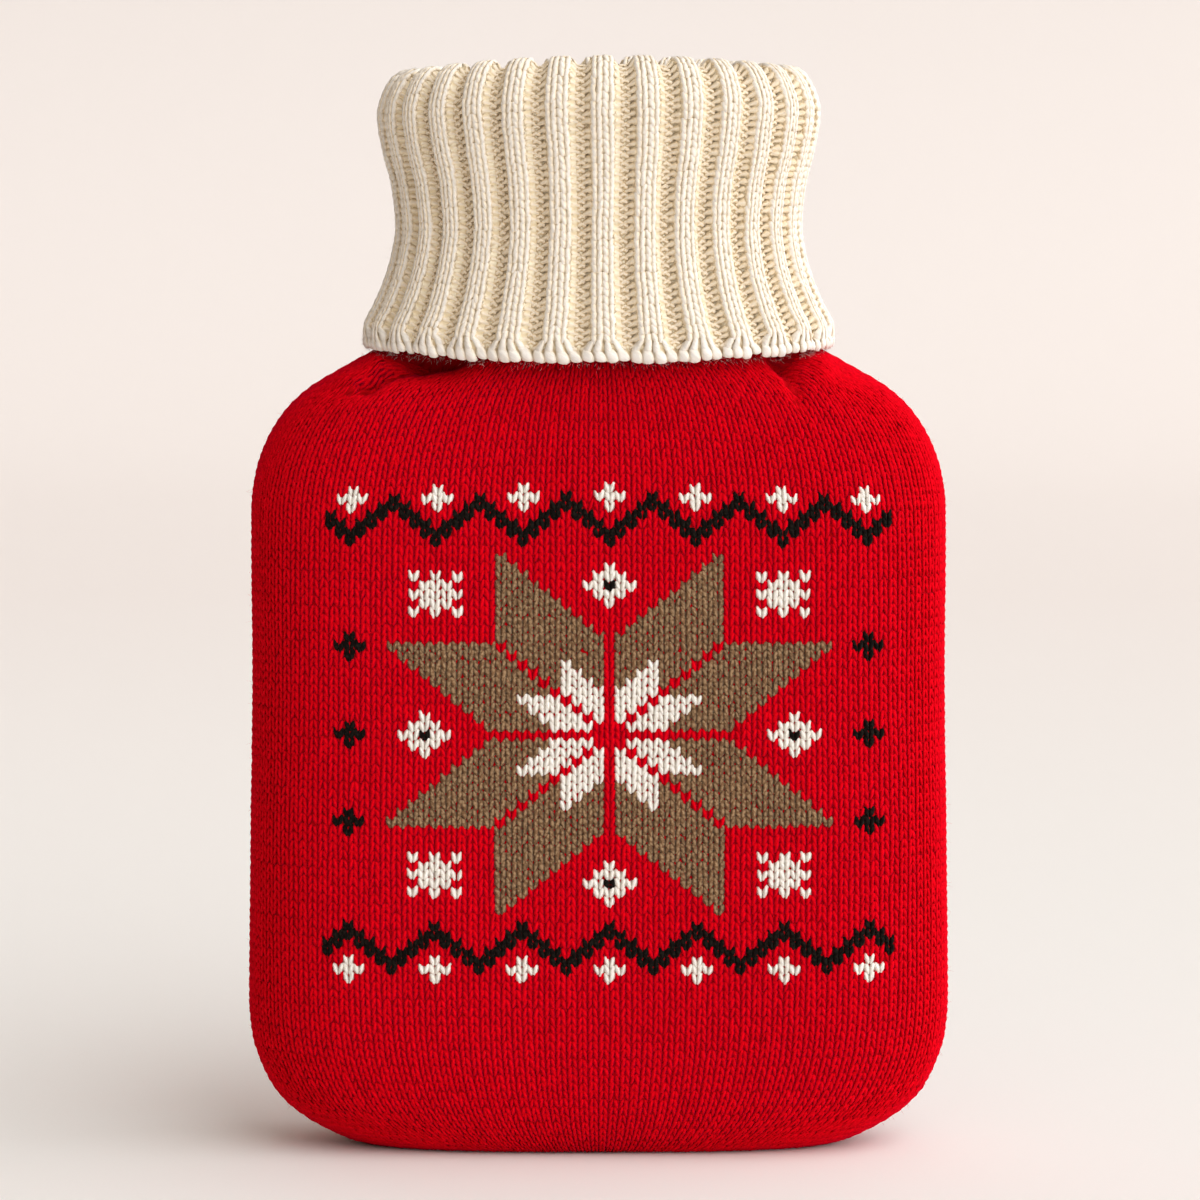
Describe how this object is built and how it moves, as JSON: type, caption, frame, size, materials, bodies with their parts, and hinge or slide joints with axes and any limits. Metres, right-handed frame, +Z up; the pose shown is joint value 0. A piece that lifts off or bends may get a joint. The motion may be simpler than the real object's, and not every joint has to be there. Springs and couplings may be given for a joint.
{
  "type": "knitted hot water bottle cover",
  "caption": "Hollow knitted cover in the shape of a full hot water bottle, with a rib-knit polo neck turned down over the shoulders.",
  "frame": {"origin": "middle of the flat bottom that the cover stands on", "axes": "+Z up through the neck, the front faces -Y, +X is to the right as the front is seen"},
  "size_m": [0.2134, 0.0766, 0.33],
  "materials": {
    "red_knit": "plain-knit wool, soft and slightly fuzzy",
    "cream_rib": "two-by-two rib-knit wool, soft"
  },
  "bodies": {
    "root": {"front_panel": "red_knit", "back_panel": "red_knit", "collar": "cream_rib"}
  },
  "joints": []
}
